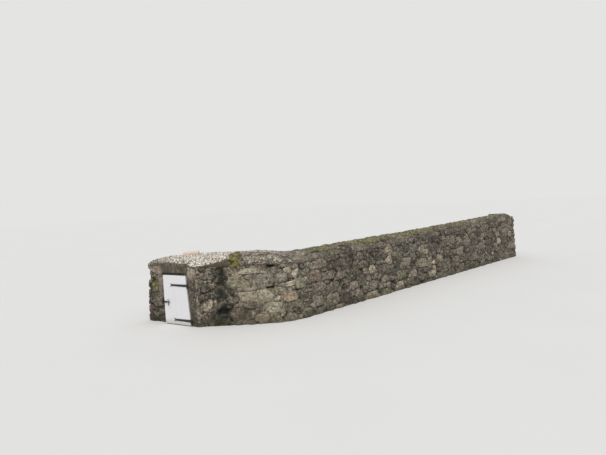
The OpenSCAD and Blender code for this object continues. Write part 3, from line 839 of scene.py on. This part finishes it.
# The render coat: a trowelled coat of grey-brown mortar round the door, with a rounded shoulder
# over the hinges. The lintel and the niche's lining are of the same mortar, laid smooth.
def render_finish():
    """Trowelled render: soft brown-grey clouds, sandy where it has worn."""
    coat = Finish("trowelled_render", 0.9)
    broad = coat.cloud(0.16, 4, 0.6)
    sand = coat.cloud(0.022, 4, 0.7)
    washed = coat.mark("washed")
    colour = coat.blend(paint(108, 98, 86), paint(84, 75, 63), coat.above(broad, 0.38, 0.62))
    colour = coat.blend(colour, paint(168, 153, 137), 0.95 * washed)
    mottled = coat.mottle(0.030, 0.70, 1.18) * coat.mottle(0.07, 0.74, 1.14, seed=2.9)
    colour = coat.shade(colour, mottled)
    dark, pale, loose = paint(54, 47, 38), paint(172, 161, 144), paint(44, 38, 31)
    worn = coat.mark("worn")
    colour = coat.patches(colour, dark, 0.62, 0.09, 0.50, 0.62, 2.9, 5, -0.10 * washed)
    colour = coat.patches(colour, pale, 0.6, 0.026, 0.55, 0.66, 7.7, 4, 0.07 * worn)
    colour = coat.patches(colour, loose, 0.7, 0.045, 0.56, 0.64, 3.3, 4, 0.13 * worn)
    # A painted shadow in the gaps over and beside the door leaf.
    colour = coat.blend(colour, paint(26, 23, 19), 0.9 * coat.mark("gap_shadow"))
    damp = 1 - coat.above(coat.height + 0.12 * (broad - 0.5), 0.04, 0.26)
    colour = coat.blend(colour, paint(56, 48, 37), 0.6 * damp)
    return coat.dress(colour, coat.cloud(0.03, 4, 0.6) + 0.5 * sand, 0.012)


trowelled_render = render_finish()


def worn_copy(name, node, grain, rub, relief, finish):
    """A copy of a CAD solid with rounded edges and uneven faces."""
    worn = bpy.data.objects.new(name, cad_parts[node].data.copy())
    bpy.context.scene.collection.objects.link(worn)
    remesh = worn.modifiers.new("skin", "REMESH")
    remesh.mode = "VOXEL"
    remesh.voxel_size = grain
    smooth = worn.modifiers.new("rub", "SMOOTH")
    smooth.factor = 0.5
    smooth.iterations = rub
    seen = worn.evaluated_get(bpy.context.evaluated_depsgraph_get())
    shape = bpy.data.meshes.new_from_object(seen)
    worn.modifiers.clear()
    points = np.empty(len(shape.vertices) * 3)
    normals = np.empty(len(shape.vertices) * 3)
    shape.vertices.foreach_get("co", points)
    shape.vertices.foreach_get("normal", normals)
    points, normals = points.reshape(-1, 3), normals.reshape(-1, 3)
    out = sum(depth * (lumps(points, size, k) - 0.5) for k, (size, depth) in enumerate(relief))
    shape.vertices.foreach_set("co", (points + normals * out[:, None]).ravel())
    shape.shade_smooth()
    worn.data = shape
    shape.materials.clear()
    shape.materials.append(finish)
    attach(worn, "wall")
    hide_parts(node)
    return worn


coat = worn_copy("render_coat", "door_surround", 0.006, 4,
                 ((0.12, 0.003), (0.04, 0.0015), (0.015, 0.0006)), trowelled_render)
leaf_top, leaf_mid_edge, leaf_mid_z, hinge_lean = 0.670, -0.166, 0.340, radians(4)


def leaf_edge(z):
    """The door leaf's leaning edge at a height."""
    return leaf_mid_edge - (z - leaf_mid_z) * tan(hinge_lean)


coat_points = np.array([v.co for v in coat.data.vertices])
coat_z = coat_points[:, 2]
across_face = plan_along(coat_points, face_right)
past_edge = across_face + 0.018 - 0.014 * lumps(coat_points, 0.05, 21)
for vertex, past in zip(coat.data.vertices, past_edge):
    if past > 0:
        vertex.co.xy -= Vector(face_right) * past * 0.9
high = soft_step(coat_z + 0.03 * lumps(coat_points, 0.08, 12), 0.60, 0.70)
right_shoulder = soft_step(across_face + 0.03 * lumps(coat_points, 0.07, 13), -0.17, -0.10)
left_end = 1 - soft_step(across_face + 0.05 * lumps(coat_points, 0.09, 14), -0.72, -0.60)
left_strip = 0.35 * (1 - soft_step(across_face, -0.62, -0.58)) * (1 - high)
washed = np.maximum(high * np.maximum(right_shoulder, 0.75 * left_end), left_strip)
past_leaf = across_face - leaf_edge(coat_z)
# Painted shadow: a dark line in the gap over the door leaf's top and along its leaning edge.
over_leaf = (1 - soft_step(coat_z, leaf_top + 0.028, leaf_top + 0.042)) * (coat_z > leaf_top - 0.01)
over_leaf *= (across_face > -0.62) * (past_leaf < 0.015)
beside_leaf = 0.7 * (1 - soft_step(past_leaf, 0.010, 0.024)) * (past_leaf > 0)
gap_shadow = np.maximum(over_leaf, beside_leaf * (coat_z < leaf_top + 0.03))
worn = soft_step(across_face + 0.03 * lumps(coat_points, 0.05, 20), -0.12, -0.03) * (1 - high)
set_marks(coat.data, {"washed": washed, "gap_shadow": gap_shadow, "worn": worn})


def ease_edges(shown, width, segments):
    edge = shown.modifiers.new("edges", "BEVEL")
    edge.width = width
    edge.segments = segments
    edge.limit_method = "ANGLE"
    edge.angle_limit = radians(30)


def dress_node(node, finish, bevel=0.0):
    """Gives a CAD node that stays its finish, and takes the sharpness off its edges."""
    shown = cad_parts[node]
    shown.data.materials.clear()
    shown.data.materials.append(finish)
    if bevel:
        ease_edges(shown, bevel, 2)


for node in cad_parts:
    if node.startswith(("niche_", "door_lintel")):
        dress_node(node, trowelled_render)

# The ridge tile: a flat pinkish clay tile, bedded in mortar on the crown over the pier, with
# its edges chipped.
def clay_finish():
    """Weathered fired clay."""
    clay = Finish("fired_clay", 0.9)
    fine = clay.cloud(0.012, 4, 0.7)
    colour = clay.blend(paint(226, 208, 194), paint(212, 186, 168), clay.cloud(0.05, 3))
    colour = clay.shade(colour, 0.75 + 0.45 * fine)
    colour = clay.patches(colour, paint(206, 190, 166), 0.6, 0.03, 0.55, 0.68, 3.3, 5)
    return clay.dress(colour, fine, 0.003)


worn_copy("clay_tile", "ridge_tile", 0.004, 3, ((0.05, 0.002), (0.015, 0.0012)), clay_finish())

# The door: upright softwood boards, planed and painted white, with a fine V where they meet.
# Two ledges across the back hold them together.
leaf_left, leaf_low = -0.600, 0.010
leaf_front, leaf_back = -0.006, 0.021
board_count = 4
board_gap = 0.0004


def white_finish():
    """Thick white gloss paint on softwood, with brush marks, grey streaks and dirt at the foot."""
    white = Finish("white_paint", 0.42)
    brush = white.cloud(0.010, 3, 0.6, stretch=(1, 1, 14))
    broad = white.cloud(0.2, 3)
    colour = white.blend(paint(232, 231, 232), paint(222, 221, 224), broad)
    colour = white.shade(colour, 0.97 + 0.05 * brush)
    streak = white.above(white.cloud(0.03, 4, 0.7, stretch=(1, 1, 5), seed=6.1), 0.60, 0.80)
    colour = white.blend(colour, paint(196, 190, 178), 0.35 * streak)
    splash = 1 - white.above(white.height + 0.05 * (white.cloud(0.05, 4) - 0.5), 0.015, 0.10)
    colour = white.blend(colour, paint(168, 158, 138), 0.55 * splash)
    return white.dress(colour, brush, 0.0008, 0.36 + 0.25 * streak)


def face_frame(points):
    """Points in the end face's frame, x right, y in and z up, put in their place."""
    points = np.array(points)
    return np.column_stack([on_face(points[:, :1], points[:, 1:2]), points[:, 2]])


white_paint = white_finish()
stops = np.linspace(leaf_left, leaf_edge(leaf_top), board_count + 1)
points, faces = [], []
for left, right in zip(stops[:-1], stops[1:]):
    last = right == stops[-1]
    low_right = leaf_edge(leaf_low) if last else right - board_gap
    top_right = right if last else right - board_gap
    board = ((left, leaf_low), (low_right, leaf_low), (top_right, leaf_top), (left, leaf_top))
    first = len(points)
    points += [(x, depth, z) for depth in (leaf_front, leaf_back) for x, z in board]
    faces += [tuple(first + i for i in (0, 1, 2, 3)), tuple(first + i for i in (7, 6, 5, 4))]
    faces += [tuple(first + i for i in (b, a, a + 4, b + 4))
              for a, b in ((0, 1), (1, 2), (2, 3), (3, 0))]
door_boards = raise_piece("door_boards", face_frame(points), faces, white_paint,
                          ("door_leaf",), "door")
ease_edges(door_boards, 0.0022, 3)
door_boards.data.shade_flat()
for node in ("door_ledge_upper", "door_ledge_lower"):
    dress_node(node, white_paint, 0.004)

# The ironwork: forged strap hinges with swallow tails on iron pintles, and a round bolt with a
# T grip in its guides, all painted black, with domed bolts through straps and boards.
def iron_finish():
    """Black paint on forged iron, a little rust where it has gone."""
    iron = Finish("black_iron", 0.5)
    dents = iron.cloud(0.012, 3, 0.6)
    colour = iron.blend(paint(38, 37, 38), paint(24, 24, 26), iron.cloud(0.03, 3))
    rust = iron.above(iron.cloud(0.02, 5, 0.75, seed=2.6), 0.60, 0.72)
    colour = iron.blend(colour, paint(96, 62, 42), 0.65 * rust)
    return iron.dress(colour, dents, 0.0012, 0.42 + 0.4 * rust)


black_iron = iron_finish()
for node in ("strap_upper", "strap_lower", "pintle_upper", "pintle_lower", "bolt_guides",
             "slide_bolt", "bolt_keeper"):
    dress_node(node, black_iron, 0.0008)


def studs(name, places, radius, dome, body):
    """Domed heads of bolts, on the face at x and z, standing out from a depth."""
    points, faces = [], []
    rings, sides = 4, 14
    for x, y, z in places:
        first = len(points)
        points.append((x, y - dome, z))
        for k in range(1, rings + 2):
            lift = pi / 2 * min(k / rings, 1)
            size = radius * sin(lift)
            depth = y - dome * cos(lift) if k <= rings else y + 0.002
            points += [(x + size * cos(2 * pi * i / sides), depth, z + size * sin(2 * pi * i / sides))
                       for i in range(sides)]
        faces += [(first, first + 1 + i, first + 1 + (i + 1) % sides) for i in range(sides)]
        for k in range(rings):
            low, high = first + 1 + k * sides, first + 1 + (k + 1) * sides
            faces += [(low + i, high + i, high + (i + 1) % sides, low + (i + 1) % sides)
                      for i in range(sides)]
    raise_piece(name, face_frame(points), faces, black_iron, (), body)


strap_front = leaf_front - 0.005
for name, z in (("upper", 0.540), ("lower", 0.072)):
    tip = leaf_edge(z) + 0.028
    studs("strap_bolts_" + name, [(tip - along, strap_front, z) for along in (0.075, 0.165, 0.255)],
          0.0085, 0.005, "door")
